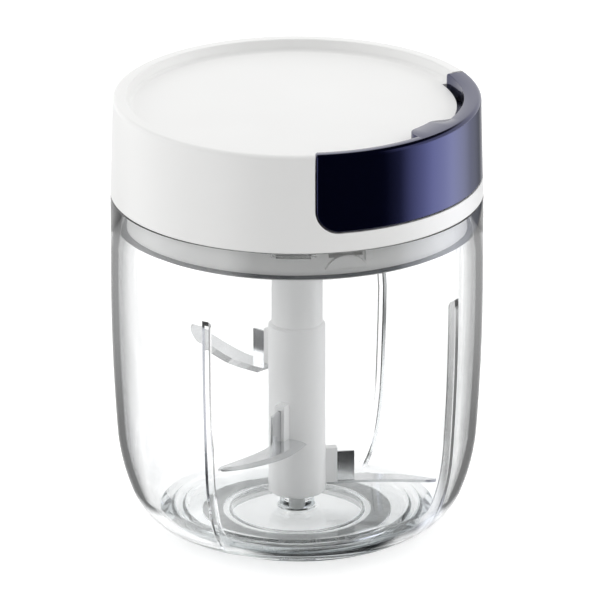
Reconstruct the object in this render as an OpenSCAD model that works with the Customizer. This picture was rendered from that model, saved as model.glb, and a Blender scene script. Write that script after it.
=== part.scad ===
// Pull-string food chopper. A clear bowl holds three stacked blades on a shaft, and a cord reel in
// the lid turns the shaft through a one-way clutch when the handle is pulled.
// Millimetres, +Z up, origin at the middle of the base, handle pulled along +X.

/* [Overall] */
// Outer radius where the lid meets the bowl
rim_r = 65; // [62:0.5:70]
// Height of the seam between bowl and lid above the table
seam_z = 123.5; // [119:0.5:132]
// Height of the lid above the seam
lid_h = 35.5; // [34.5:0.5:42]

/* [Bowl] */
// Thickness of the bowl wall
bowl_wall = 2.6; // [2:0.1:3.2]
// Height of the floor inside above the underside
floor_rise = 7.2; // [6:0.1:8]
// Thickness of the floor over the hollow underneath
floor_t = 3.6; // [3:0.1:4]
// Radius of the corner between base and side
corner_r = 25.7; // [22:0.1:28]
// Angle at which the corner runs into the shoulder
corner_lean = 20; // [16:1:24]
// Radius of the shoulder above the corner
shoulder_r = 75; // [65:1:85]
// Angle at which the shoulder runs into the wall
shoulder_lean = 4.3; // [3.6:0.1:5]
// Radius of the slow bulge of the wall
wall_r = 770; // [650:10:900]
// Number of ribs inside the wall
rib_count = 4; // [3:1:6]
// Width of a rib
rib_w = 2; // [1.4:0.1:3]
// Height of a rib from the wall
rib_depth = 2.4; // [1.6:0.1:2.8]
// Distance from the seam down to the tops of the ribs
rib_drop = 28.5; // [26:0.5:40]
// Radius of the boss that carries the pin
boss_r = 6; // [5:0.5:8]
// Height of the boss above the floor
boss_h = 4.9; // [4:0.1:6]
// Radius of the pin that the shaft turns on
pin_r = 3; // [2.5:0.1:3.5]
// Height of the pin above the boss
pin_h = 30; // [24:1:34]

/* [Foot ring] */
// Width of the non-slip ring
foot_w = 7; // [5:0.5:9]
// Height of the ring
foot_h = 2.2; // [1.8:0.1:2.8]
// Height of the ring below the bowl
foot_proud = 0.6; // [0.4:0.1:1]

/* [Bayonet] */
// Number of lugs on the lid
lug_count = 3; // [2:1:4]
// Arc of one lug in degrees
lug_arc = 14; // [11:0.5:16]
// Height of one lug
lug_h = 4.7; // [3.6:0.1:4.8]
// Height of one ledge in the bowl
ledge_h = 1.5; // [1.2:0.1:1.8]
// Depth of the spigot below the seam
spigot_d = 10.8; // [10:0.1:11.4]
// Thickness of the spigot
spigot_t = 2.4; // [2:0.1:3]
// Thickness of the plate under the lid
plate_t = 2.4; // [2:0.1:2.8]

/* [Lid] */
// Thickness of the lid wall
lid_wall = 2.4; // [2:0.1:3]
// Inward draft of the lid side
lid_draft = 0.8; // [0.4:0.1:1.4]
// Width of the raised rim
rim_w = 4.9; // [4:0.1:6]
// Depth of the recessed top
recess = 4; // [3:0.1:5]
// Thickness of the recessed top
disc_t = 2.4; // [2:0.1:3]
// Rounding of the outer top edge
edge_r = 1.5; // [0.8:0.1:2.2]

/* [Handle] */
// Half of the arc that the handle takes in degrees
handle_half = 54; // [46:0.5:56]
// Thickness of the handle at its top
handle_t = 8.2; // [7.8:0.1:8.8]
// Height of the handle
handle_h = 28.2; // [26:0.2:29]
// Rounding of the two lower corners
handle_corner_r = 8.5; // [5:0.5:11]
// Reach of the thumb tab towards the middle
tab_reach = 5.4; // [4:0.2:7]
// Turn of the tab from the middle of the handle in degrees
tab_turn = -8; // [-9:0.5:0]
// Half width of the tab
tab_half_w = 11.8; // [9:0.2:12.6]
// Fall of the tab's top towards the middle
tab_drop = 2.2; // [1:0.1:2.4]
// Depth of the two finger scoops in the inner side of the handle
finger_gap = 2.2; // [1.4:0.1:2.6]
// Thickness of the plate behind the handle
back_t = 1.8; // [1.4:0.1:2]

/* [Cord] */
// Diameter of the cord
cord_d = 1.6; // [1.2:0.1:1.9]
// Turns of cord on the reel
cord_turns = 4; // [3:1:4]
// Gap between two turns
cord_gap = 0.5; // [0.45:0.05:0.8]

/* [Reel] */
// Radius of the drum under the cord
drum_r = 26; // [24:0.5:28]
// Thickness of the drum
drum_wall = 2.2; // [1.8:0.1:2.6]
// Radius of the reel flanges
flange_r = 33; // [31:0.5:36]
// Thickness of the lower flange
flange_t = 2.5; // [2.2:0.1:3]
// Radius of the arbor that holds the spring
arbor_r = 7; // [6:0.5:8]
// Turns of the spring
spring_turns = 6; // [4:1:7]
// Thickness of the spring strip
spring_t = 0.5; // [0.4:0.05:0.7]
// Radius of the reel axle
axle_r = 3; // [2.6:0.1:3.4]

/* [Clutch] */
// Outer radius of the drive hub
hub_r = 25; // [24.2:0.2:28]
// Number of teeth in the drive hub
teeth = 18; // [12:6:18]
// Depth of one tooth
tooth_d = 2; // [1.6:0.1:2.2]
// Thickness of a pawl
pawl_t = 4; // [3:0.2:4.4]
// Radius of a pawl pin
pawl_pin_r = 1.5; // [1.2:0.1:1.7]
// Radius of the hub stem
stem_r = 8; // [7.4:0.1:8.6]
// Radius of the drive key
key_r = 6.4; // [6:0.1:6.6]

/* [Blade unit] */
// Radius of the shaft
column_r = 10; // [9.6:0.1:11]
// Radius of the upper sleeve
sleeve_r = 9; // [8.6:0.1:9.4]
// Height of the shaft up to the sleeve
column_h = 63; // [60:0.5:72]
// Thickness of a blade
blade_t = 1; // [0.8:0.1:1.4]
// Width of a blade at its root
blade_w = 10; // [8:0.5:12]
// Distance from the rim radius in to the lowest blade tip
tip_inset = 16; // [15.5:0.5:22]
// Width of the ground edge
bevel_w = 2.6; // [1.6:0.2:3.6]

/* [Fits] */
// Radial gap of a turning fit
run_gap = 0.05; // [0.03:0.01:0.08]
// Gap round sliding and loose pieces
slide_gap = 0.4; // [0.35:0.05:0.5]

/* [Hidden] */
$fn = 72;

// Bowl outline, built up from three arcs that run into each other
wall_z = foot_proud + wall_r * sin(shoulder_lean) + shoulder_r * (sin(corner_lean) - sin(shoulder_lean))
  + corner_r * (1 - sin(corner_lean));
wall_c = [rim_r - wall_r, wall_z];
shoulder_c = wall_c + (wall_r - shoulder_r) * [cos(shoulder_lean), -sin(shoulder_lean)];
corner_c = shoulder_c + (shoulder_r - corner_r) * [cos(corner_lean), -sin(corner_lean)];
base_r = corner_c[0];
floor_z = foot_proud + floor_rise;
hollow_z = floor_z - floor_t;
rib_top = seam_z - rib_drop;
boss_top = floor_z + boss_h;
foot_out_r = base_r - 1.3;
foot_in_r = foot_out_r - foot_w;
hollow_r = foot_in_r - 2.5;
bead_r = [base_r + 4.6, base_r + 8.6];
seam_chamfer = 0.4;
bead_h = 0.8;

// Bayonet
bowl_in_r = rim_r - bowl_wall;
spigot_r = bowl_in_r - 1.8;
ledge_in_r = spigot_r + slide_gap;
ledge_z = seam_z - 0.2 - ledge_h;
ledge_a0 = -68.2;
lug_play = 3.2;
lug_out_r = bowl_in_r - slide_gap;
lug_top = ledge_z - slide_gap;
lug_z = lug_top - lug_h;
lug_half_w = spigot_r * sin(lug_arc / 2);
lug_face_x = sqrt(lug_out_r * lug_out_r - lug_half_w * lug_half_w);
lug_root = 1.5;
lug_a0 = ledge_a0 + lug_arc + lug_play;
stop_arc = 1.5;
slot_z = seam_z - 3;
slot_h = 1.8;
slot_d = 3.2;
slot_in = 1.3;
spigot_z = seam_z - spigot_d;
seal_z = spigot_z + 0.5;
seal_h = 1.2;
seal_d = 1.4;
seal_gap = 0.2;

// Lid
lid_top_z = seam_z + lid_h;
rim_top_r = rim_r - lid_draft;
rim_in_r = rim_top_r - rim_w;
disc_z = lid_top_z - recess;
under_z = disc_z - disc_t;
handle_in_r = rim_top_r - handle_t;
handle_z = lid_top_z - handle_h;
pocket_r = handle_in_r - slide_gap;
pocket_wall = 3.4;
pocket_z = handle_z - slide_gap;
shelf_t = 2.4;
pocket_half = handle_half + asin(slide_gap / handle_in_r);
wall_half = pocket_half + 2.6;
tab_in_r = handle_in_r - tab_reach;
tab_r = (tab_half_w * tab_half_w + tab_reach * tab_reach) / (2 * tab_reach);
tab_z = disc_z + slide_gap;
tab_span = asin(tab_half_w / handle_in_r) + 1.5;
finger_end = handle_half - 2;
scoop_z = disc_z - 0.15 * handle_h;

// Plate under the lid
plate_z = seam_z - 3.3;
plate_top = plate_z + plate_t;
spigot_in_r = spigot_r - spigot_t;
collar_z = seam_z + 0.3;
collar_h = 1.6;
screw_n = 4;
screw_ring = spigot_in_r - 11.5;
screw_r = 1.25;
screw_head_r = 2.8;
screw_head_h = 1.8;
screw_l = 10;
post_r = 4;

// Clutch and reel, stacked upwards from the plate
bush_t = 2;
bush_flange = 0.8;
hub_z = plate_top + bush_flange + 0.3;
hub_disc_t = 2.5;
cup_z = hub_z + hub_disc_t;
cup_d = pawl_t + 2.4;
tooth_root_r = hub_r - 2.4;
tooth_tip_r = tooth_root_r - tooth_d;
tooth_lean = 5;
pivot_r = tooth_tip_r - 2 * tooth_d;
pawl_z = cup_z + 1.4;
pawl_lead = 36;
pawl_back = 1.2;
pawl_head_r = pawl_pin_r + 1.1;
pawl_out_r = tooth_root_r - 0.5;
pawl_in_r = tooth_tip_r - 1.1;
spring_a = -30;
spring_half_t = 0.2;
reel_z = cup_z + cup_d + slide_gap;
groove_z = reel_z + flange_t;
cord_r = cord_d / 2;
cord_pitch = cord_d + cord_gap;
groove_h = cord_turns * cord_pitch + cord_d + 1.2;
reel_top = groove_z + groove_h + 1.6;
barrel_r = drum_r - drum_wall;
reel_hub_r = axle_r + 3.4;
reel_hub_z = pawl_z + 2;
cover_t = 1.2;
arbor_z = groove_z + 0.6;
washer_t = 0.8;
washer_z = reel_hub_z - 0.2 - washer_t;
head_t = 1.6;
axle_shank_r = axle_r - 1;
axle_top = reel_top - 1;
spring_in = arbor_r + 0.5;
spring_out = barrel_r - 0.5;

// Cord
wind_steps = 24;
wind_r = (drum_r + 0.03) / cos(180 / wind_steps) + cord_r;
wind_z0 = groove_z + cord_r + 0.6;
wind_z1 = wind_z0 + cord_turns * cord_pitch;
cord_z = wind_z1 - 1.5;
eye_x = pocket_r - 2.2;
eye_bore = cord_r + 1;
eye_r = eye_bore + 1.3;
eye_flange_r = eye_r + 1.4;
wind_a = -acos(wind_r / eye_x);
leave_pt = [wind_r * cos(wind_a), wind_r * sin(wind_a), wind_z1];
eye_pt = [eye_x, 0, cord_z];
lead_dir = (eye_pt - leave_pt) / norm(eye_pt - leave_pt);
join_pt = leave_pt + cord_d * lead_dir;
stop_r = cord_r + 1.6;
stop_l = 2.2;
stop_x = handle_in_r + back_t + 0.2;
wind_path = concat(
  [for (i = [0 : wind_steps * cord_turns])
    let (a = wind_a + 360 * (i / wind_steps - cord_turns))
    [wind_r * cos(a), wind_r * sin(a), wind_z0 + cord_pitch * i / wind_steps]],
  [join_pt]);
wind_least = min([for (i = [0 : len(wind_path) - 1]) for (j = [i + wind_steps / 2 : len(wind_path) - 1])
  norm(wind_path[i] - wind_path[j])]) - cord_d;
bend_l = 3;
lead_path = concat(
  [join_pt],
  [for (t = [0 : 0.25 : 1])
    (1 - t) * (1 - t) * (eye_pt - bend_l * lead_dir) + 2 * t * (1 - t) * eye_pt + t * t * (eye_pt + [bend_l, 0, 0])],
  [[stop_x, 0, cord_z]]);
echo(winding_least_gap = wind_least);

// Handle back plate
back_half = 0.72 * handle_half;
back_z0 = handle_z + 0.15 * handle_h;
back_z1 = disc_z - 0.2 * handle_h;

// Shaft
column_z = boss_top + 0.3;
column_step = column_z + column_h;
column_top = seam_z - 11.5;
stem_z = column_top + 0.6;
key_l = 9;
key_core = 4.2;
key_w = 3.4;
socket_r = key_r + 0.5;
socket_d = 12;
sleeve_in_r = sleeve_r - 2.1;
joint_l = 12;
joint_r = sleeve_r - 1.5;
bush_out_r = pin_r + 2;
bush_l = pin_h - 3;
clip_z = plate_z - 1.8;
clip_t = 0.9;
clip_r = stem_r + 2.6;
clip_gap = 0.75 * stem_r;
blade_z = column_z + 2;
blade_gap = (column_h - 3) / 3;
blade_a = [38, 274, 168];
blade_at = [0, 1, 2.08];
blade_rise = [0, 1.5, 3];
tab_h = 12;
blade_u0 = column_r + 0.5;
blade_tab_l = 9.7;
fin_l = 4;
fin_w = 3.6;
blade_n = 14;

// Points of an arc, from step `from` on
function arc(c, r, a0, a1, n, from = 0) =
  [for (i = [from : n]) c + r * [cos(a0 + (a1 - a0) * i / n), sin(a0 + (a1 - a0) * i / n)]];

// Side of the bowl, moved in by d, from angle a0 of the corner up to the seam
function bowl_side(d, a0 = -90) = concat(
  arc(corner_c, corner_r - d, a0, -corner_lean, 12),
  arc(shoulder_c, shoulder_r - d, -corner_lean, -shoulder_lean, 5, 1),
  arc(wall_c, wall_r - d, -shoulder_lean, 0, 5, 1));

// Angle of the corner, moved in by d, at height z
function corner_at(d, z) = asin((z - corner_c[1]) / (corner_r - d));

function unit(v) = v / norm(v);

// Blade outline: middle line and half width along its length, s from 0 to 1
function blade_mid(s) = blade_w * (0.39 + 0.4 * s - 1.2 * s * s);
function blade_half(s) = blade_w * (0.03 + 0.47 * sqrt(1 - pow(s, 3)));

// A block between two radii, two heights and two angles
module sector(r0, r1, z0, z1, a0, a1) {
  rotate([0, 0, a0])
    rotate_extrude(angle = a1 - a0)
      translate([r0, z0])
        square([r1 - r0, z1 - z0]);
}

// A block like the handle, with its two lower corners rounded
module band(r0, r1, z0, z1, half, corner) {
  turn = asin(corner / rim_r);
  dip = corner / 150;
  difference() {
    sector(r0, r1, z0, z1, -half, half);
    for (s = [-1, 1])
      rotate([0, 0, s * (half - turn)])
        translate([r0 - 8, 0, 0])
          rotate([90, 0, 90])
            linear_extrude(r1 - r0 + 16)
              polygon(concat(
                [[0, z0 - 1]],
                arc([0, z0 + corner - dip], corner, -90, s > 0 ? 0 : -180, 10),
                [[s * (corner + 4), z0 + corner], [s * (corner + 4), z0 - 1]]));
  }
}

// A tube with flat sides along a path
module tube(path, r, sides) {
  n = len(path);
  pts = [for (i = [0 : n - 1])
    let (
      t = unit(path[min(i + 1, n - 1)] - path[max(i - 1, 0)]),
      out = unit(cross(t, [0, 0, 1])),
      up = cross(out, t)
    )
    for (j = [0 : sides - 1])
      path[i] + r * (cos(360 * j / sides) * out + sin(360 * j / sides) * up)];
  skin = [for (i = [0 : n - 2]) for (j = [0 : sides - 1])
    let (k = (j + 1) % sides)
    [i * sides + j, i * sides + k, (i + 1) * sides + k, (i + 1) * sides + j]];
  halves = [for (f = skin) for (h = [[f[0], f[1], f[2]], [f[0], f[2], f[3]]]) h];
  ends = [
    [for (j = [sides - 1 : -1 : 0]) j],
    [for (j = [0 : sides - 1]) (n - 1) * sides + j]
  ];
  polyhedron(points = pts, faces = concat(halves, ends), convexity = 12);
}

// The lid's outer shape, closed to the axis
module lid_solid() {
  rotate_extrude()
    polygon(concat(
      [[0, seam_z], [rim_r - seam_chamfer, seam_z], [rim_r, seam_z + seam_chamfer]],
      arc([rim_top_r - edge_r, lid_top_z - edge_r], edge_r, 0, 90, 6),
      [[0, lid_top_z]]));
}

module bowl() {
  color([0.88, 0.92, 0.94, 0.35])
    difference() {
      union() {
        difference() {
          rotate_extrude()
            polygon(concat(
              [[0, foot_proud]],
              bowl_side(0),
              [[rim_r, seam_z - seam_chamfer], [rim_r - seam_chamfer, seam_z], [0, seam_z]]));
          rotate_extrude()
            polygon(concat(
              [[0, floor_z]],
              bowl_side(bowl_wall, corner_at(bowl_wall, floor_z)),
              [[bowl_in_r, seam_z + 1], [0, seam_z + 1]]));
        }
        for (i = [0 : rib_count - 1])
          rotate([0, 0, 360 * i / rib_count])
            rotate([90, 0, 0])
              linear_extrude(rib_w, center = true)
                bowl_rib();
        translate([0, 0, floor_z - 1])
          cylinder(r = boss_r, h = boss_h + 1);
        for (r = bead_r)
          rotate_extrude()
            polygon([
              [r - 1, floor_z - 0.4], [r + 1, floor_z - 0.4], [r + 1, floor_z],
              [r + 0.5, floor_z + bead_h], [r - 0.5, floor_z + bead_h], [r - 1, floor_z]
            ]);
        for (i = [0 : lug_count - 1])
          sector(ledge_in_r, rim_r - bowl_wall / 2, ledge_z, ledge_z + ledge_h,
            ledge_a0 + 360 * i / lug_count, ledge_a0 + lug_arc + 360 * i / lug_count);
      }
      rotate_extrude()
        translate([foot_in_r - run_gap, -1])
          square([foot_w + 2 * run_gap, foot_h + 1]);
      translate([0, 0, -1])
        cylinder(r = hollow_r, h = hollow_z + 1);
      translate([0, 0, floor_z - 2])
        cylinder(r = pin_r + run_gap, h = boss_h + 3);
    }
}

// Outline of one rib of the bowl
module bowl_rib() {
  intersection() {
    difference() {
      polygon(concat([[0, foot_proud]], bowl_side(bowl_wall / 2), [[0, wall_z]]));
      polygon(concat([[-1, foot_proud]], bowl_side(bowl_wall + rib_depth), [[-1, wall_z]]));
    }
    translate([base_r, floor_z - 0.5])
      square([rim_r, min(rib_top, wall_z - 0.5) - floor_z + 0.5]);
  }
}

module centre_pin() {
  color([0.72, 0.73, 0.75])
    rotate_extrude()
      polygon([
        [0, floor_z - 2], [pin_r, floor_z - 2], [pin_r, boss_top + pin_h - 1],
        [pin_r - 1, boss_top + pin_h], [0, boss_top + pin_h]
      ]);
}

module foot_ring() {
  color([0.62, 0.64, 0.66])
    rotate_extrude()
      polygon([
        [foot_in_r + 0.4, 0], [foot_out_r - 0.4, 0], [foot_out_r, 0.4],
        [foot_out_r, foot_h], [foot_in_r, foot_h], [foot_in_r, 0.4]
      ]);
}

module lid_seal() {
  color([0.45, 0.46, 0.48])
    rotate_extrude()
      polygon([
        [spigot_r - seal_d + 0.05, seal_z + 0.05], [spigot_r, seal_z + 0.05],
        [bowl_in_r - seal_gap, seal_z + 0.35 * seal_h], [bowl_in_r - seal_gap, seal_z + 0.65 * seal_h],
        [spigot_r + 0.2, seal_z + seal_h - 0.05], [spigot_r - seal_d + 0.05, seal_z + seal_h - 0.05]
      ]);
}

module lid_housing() {
  color([0.93, 0.93, 0.93])
    difference() {
      union() {
        difference() {
          lid_solid();
          rotate_extrude()
            polygon(concat(
              [[0, disc_z]],
              arc([rim_in_r - 2.2, disc_z + 1.4], 1.4, -90, 0, 4),
              arc([rim_in_r + 0.6, lid_top_z - 0.6], 0.6, 180, 90, 3),
              [[rim_in_r + 0.6, lid_top_z + 1], [0, lid_top_z + 1]]));
          rotate_extrude()
            polygon([
              [0, seam_z - 1], [rim_r - lid_wall, seam_z - 1], [rim_r - lid_wall, seam_z + 1],
              [rim_top_r - lid_wall, under_z], [0, under_z]
            ]);
        }
        sector(pocket_r - pocket_wall, rim_r - lid_wall / 2 - lid_draft, pocket_z - shelf_t, disc_z - 0.5,
          -wall_half, wall_half);
        translate([0, 0, arbor_z])
          cylinder(r = arbor_r, h = under_z - arbor_z + 0.5);
        for (i = [0 : screw_n - 1])
          rotate([0, 0, 360 * (i + 0.5) / screw_n])
            translate([screw_ring, 0, plate_top])
              cylinder(r = post_r, h = under_z - plate_top + 0.5);
      }
      band(pocket_r, rim_r + handle_t, pocket_z, lid_top_z + 1, pocket_half, handle_corner_r + slide_gap);
      translate([eye_x - 12, 0, cord_z])
        rotate([0, 90, 0])
          cylinder(r = eye_r + run_gap, h = 16);
      for (i = [0 : screw_n - 1])
        rotate([0, 0, 360 * (i + 0.5) / screw_n])
          translate([screw_ring, 0, plate_top - 1])
            cylinder(r = screw_r + run_gap, h = screw_l + 2);
      translate([0, 0, arbor_z - 1])
        cylinder(r = axle_shank_r + run_gap, h = axle_top - arbor_z + 1.5);
      translate([arbor_r - 2.5, -0.8, arbor_z - 1])
        cube([5, 1.6, reel_top - arbor_z]);
    }
}

module lid_base() {
  color([0.9, 0.9, 0.91])
    difference() {
      union() {
        difference() {
          rotate_extrude()
            polygon([
              [stem_r + bush_t + run_gap, plate_z], [spigot_in_r, plate_z], [spigot_in_r, spigot_z],
              [spigot_r, spigot_z], [spigot_r, seal_z], [spigot_r - seal_d, seal_z],
              [spigot_r - seal_d, seal_z + seal_h], [spigot_r, seal_z + seal_h], [spigot_r, collar_z],
              [bowl_in_r - 0.3, collar_z], [bowl_in_r - 0.3, collar_z + collar_h],
              [spigot_in_r, collar_z + collar_h], [spigot_in_r, plate_top],
              [stem_r + bush_t + run_gap, plate_top]
            ]);
          for (i = [0 : lug_count - 1])
            for (a = [ledge_a0, lug_a0])
              sector(spigot_r - slot_d, spigot_r + 2, slot_z, slot_z + slot_h,
                a + slot_in + 360 * i / lug_count, a + lug_arc - slot_in + 360 * i / lug_count);
        }
        for (i = [0 : lug_count - 1]) {
          rotate([0, 0, lug_a0 + lug_arc / 2 + 360 * i / lug_count])
            translate([spigot_r - lug_root, 0, 0])
              rotate([90, 0, 90])
                linear_extrude(lug_face_x - spigot_r + lug_root)
                  lug_face();
          sector(spigot_r - 0.5, lug_out_r, lug_z + lug_h / 2, seam_z - 0.3,
            lug_a0 + lug_arc - 0.8 + 360 * i / lug_count, lug_a0 + lug_arc + stop_arc + 360 * i / lug_count);
        }
      }
      for (i = [0 : screw_n - 1])
        rotate([0, 0, 360 * (i + 0.5) / screw_n])
          translate([screw_ring, 0, plate_z - 1])
            cylinder(r = screw_r + 0.4, h = plate_t + 2);
    }
}

// Half-moon outline of one lug, seen from outside
module lug_face() {
  r = (lug_half_w * lug_half_w + lug_h * lug_h) / (2 * lug_h);
  w = 2 * atan(lug_h / lug_half_w);
  polygon(arc([0, lug_top - r], r, 90 + w, 90 - w, 18));
}

module base_screws() {
  color([0.7, 0.71, 0.73])
    for (i = [0 : screw_n - 1])
      rotate([0, 0, 360 * (i + 0.5) / screw_n])
        translate([screw_ring, 0, plate_z])
          difference() {
            rotate_extrude()
              polygon([
                [0, -screw_head_h], [screw_head_r - 0.6, -screw_head_h], [screw_head_r, 0.6 - screw_head_h],
                [screw_head_r, 0], [screw_r, 0], [screw_r, plate_t + screw_l - 1],
                [0.4, plate_t + screw_l], [0, plate_t + screw_l]
              ]);
            for (q = [0, 90])
              rotate([0, 0, q])
                translate([-1.6, -0.4, -screw_head_h - 1])
                  cube([3.2, 0.8, 2]);
          }
}

module cord_eyelet() {
  face_x = sqrt(pow(pocket_r - pocket_wall, 2) - pow(eye_flange_r, 2)) - 0.05;
  out_x = pocket_r - 0.5;
  color([0.72, 0.73, 0.75])
    translate([0, 0, cord_z])
      rotate([0, 90, 0])
        rotate_extrude()
          polygon([
            [eye_bore + 1, face_x - 1], [eye_flange_r - 0.3, face_x - 1], [eye_flange_r, face_x - 0.7],
            [eye_flange_r, face_x], [eye_r, face_x], [eye_r, out_x], [eye_bore + 0.5, out_x],
            [eye_bore, out_x - 0.8], [eye_bore, face_x + 1]
          ]);
}

module hub_bush() {
  color([0.76, 0.72, 0.6])
    rotate_extrude()
      polygon([
        [stem_r + run_gap, plate_z], [stem_r + bush_t, plate_z], [stem_r + bush_t, plate_top],
        [stem_r + bush_t + 2, plate_top], [stem_r + bush_t + 2, plate_top + bush_flange],
        [stem_r + run_gap, plate_top + bush_flange]
      ]);
}

module reel_axle() {
  color([0.7, 0.71, 0.73])
    difference() {
      rotate_extrude()
        polygon([
          [0, washer_z - head_t], [axle_r + 1.6, washer_z - head_t], [axle_r + 2, washer_z - head_t + 0.4],
          [axle_r + 2, washer_z], [axle_r, washer_z], [axle_r, arbor_z], [axle_shank_r, arbor_z],
          [axle_shank_r, axle_top], [0, axle_top]
        ]);
      translate([-axle_r - 4, -0.5, washer_z - head_t - 1])
        cube([2 * axle_r + 8, 1, 1.7]);
    }
}

module axle_washer() {
  color([0.75, 0.76, 0.78])
    rotate_extrude()
      translate([axle_r + run_gap, washer_z])
        square([3, washer_t]);
}

module cord_reel() {
  color([0.85, 0.86, 0.87])
    difference() {
      rotate_extrude()
        polygon([
          [axle_r + run_gap, reel_hub_z], [reel_hub_r, reel_hub_z], [reel_hub_r, reel_z], [flange_r, reel_z],
          [flange_r, groove_z], [drum_r, groove_z], [drum_r, groove_z + groove_h],
          [flange_r, groove_z + groove_h], [flange_r, reel_top], [barrel_r, reel_top],
          [barrel_r, groove_z], [axle_r + run_gap, groove_z]
        ]);
      for (i = [0 : 2])
        rotate([0, 0, 120 * i])
          translate([pivot_r, 0, reel_z - 1])
            cylinder(r = pawl_pin_r + run_gap, h = flange_t);
    }
}

module recoil_spring() {
  n = 20 * spring_turns;
  mid = [for (i = [0 : n])
    let (a = 360 * i / 20, r = spring_in + (spring_out - spring_in) * i / n)
    [r, a]];
  color([0.55, 0.57, 0.6])
    translate([0, 0, groove_z + 0.8])
      linear_extrude(reel_top - cover_t - 0.8 - groove_z - 0.8)
        polygon(concat(
          [[arbor_r - 2, -spring_t], [arbor_r - 2, 0]],
          [for (p = mid) (p[0] - spring_t / 2) * [cos(p[1]), sin(p[1])]],
          [for (i = [n : -1 : 0]) (mid[i][0] + spring_t / 2) * [cos(mid[i][1]), sin(mid[i][1])]],
          [[spring_in + spring_t / 2, -spring_t]]));
}

module spring_cover() {
  color([0.78, 0.79, 0.8])
    rotate_extrude()
      translate([arbor_r + 0.6, reel_top - cover_t])
        square([barrel_r - run_gap - arbor_r - 0.6, cover_t]);
}

module cord_winding() {
  color([0.9, 0.9, 0.88])
    tube(wind_path, cord_r, 6);
}

module pawl_pins() {
  color([0.7, 0.71, 0.73])
    for (i = [0 : 2])
      rotate([0, 0, 120 * i])
        translate([pivot_r, 0, pawl_z - 0.6])
          cylinder(r = pawl_pin_r, h = reel_z + flange_t - 1.2 - pawl_z + 0.6);
}

module pawl_springs() {
  inner = pawl_inner();
  edge = inner[1] - inner[0];
  p0 = (reel_hub_r + spring_half_t + 0.03) * [cos(spring_a), sin(spring_a)];
  p1 = inner[0] + 0.72 * edge + (spring_half_t + 0.35) * unit([-edge[1], edge[0]]);
  side = spring_half_t * unit([p0[1] - p1[1], p1[0] - p0[0]]);
  color([0.55, 0.57, 0.6])
    for (i = [0 : 2])
      rotate([0, 0, 120 * i])
        translate([0, 0, reel_hub_z + 0.4])
          linear_extrude(pawl_z + pawl_t - reel_hub_z - 0.8)
            polygon([p0 - side, p1 - side, p1 + side, p0 + side]);
}

// Corner of a pawl's nose at radius r, just behind the face of its tooth
function pawl_nose(r) =
  let (a = pawl_lead - pawl_back + tooth_lean * (tooth_root_r - r) / tooth_d)
  r * [cos(a), sin(a)];

// Inner edge of a pawl, from the pivot to the nose
function pawl_inner() = [
  [pivot_r - 0.86 * pawl_head_r, 0.5 * pawl_head_r],
  pawl_nose(pawl_in_r)
];

module pawl(turn) {
  inner = pawl_inner();
  color([0.62, 0.63, 0.66])
    rotate([0, 0, turn])
      translate([0, 0, pawl_z])
        linear_extrude(pawl_t)
          difference() {
            union() {
              translate([pivot_r, 0])
                circle(r = pawl_head_r);
              polygon([
                [pivot_r + 0.97 * pawl_head_r, 0.25 * pawl_head_r],
                pawl_nose(pawl_out_r), inner[1], inner[0]
              ]);
            }
            translate([pivot_r, 0])
              circle(r = pawl_pin_r + run_gap);
          }
}

module pawl_1() {
  pawl(0);
}

module pawl_2() {
  pawl(120);
}

module pawl_3() {
  pawl(240);
}

module drive_hub() {
  step = 360 / teeth;
  color([0.8, 0.82, 0.84])
    difference() {
      union() {
        rotate_extrude()
          polygon([
            [0, stem_z], [stem_r - 0.5, stem_z], [stem_r, stem_z + 0.5], [stem_r, hub_z], [hub_r, hub_z],
            [hub_r, cup_z], [0, cup_z]
          ]);
        translate([0, 0, cup_z - 0.2])
          linear_extrude(cup_d + 0.2)
            difference() {
              circle(r = hub_r);
              polygon([for (i = [0 : teeth - 1]) for (e = [0, 1])
                let (
                  a = pawl_lead + step * (i + e) + tooth_lean * (1 - e),
                  r = tooth_tip_r + tooth_d * e
                )
                r * [cos(a), sin(a)]]);
            }
        translate([0, 0, stem_z - key_l]) {
          cylinder(r = key_core, h = key_l + 0.5);
          intersection() {
            cylinder(r = key_r, h = key_l + 0.5);
            translate([-key_r, -key_w / 2, 0])
              cube([2 * key_r, key_w, key_l + 0.5]);
          }
        }
      }
      difference() {
        translate([0, 0, clip_z - 0.05])
          cylinder(r = stem_r + 1, h = clip_t + 0.1);
        translate([0, 0, clip_z - 1])
          cylinder(r = stem_r - 1, h = clip_t + 2);
      }
    }
}

module hub_clip() {
  color([0.55, 0.57, 0.6])
    translate([0, 0, clip_z])
      linear_extrude(clip_t)
        difference() {
          circle(r = clip_r);
          circle(r = stem_r - 1 + run_gap);
          translate([0, -clip_gap / 2])
            square([clip_r + 1, clip_gap]);
        }
}

// A scoop for the fingers in the inner side of the handle, between two angles
module scoop(a0, a1) {
  half = (a1 - a0) / 2;
  h = handle_in_r * sin(half);
  sag = handle_in_r * (1 - cos(half)) + finger_gap;
  r = (h * h + sag * sag) / (2 * sag);
  rotate([0, 0, (a0 + a1) / 2])
    translate([handle_in_r + finger_gap - r, 0, scoop_z])
      cylinder(r = r, h = lid_top_z - scoop_z + 1);
}

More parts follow.
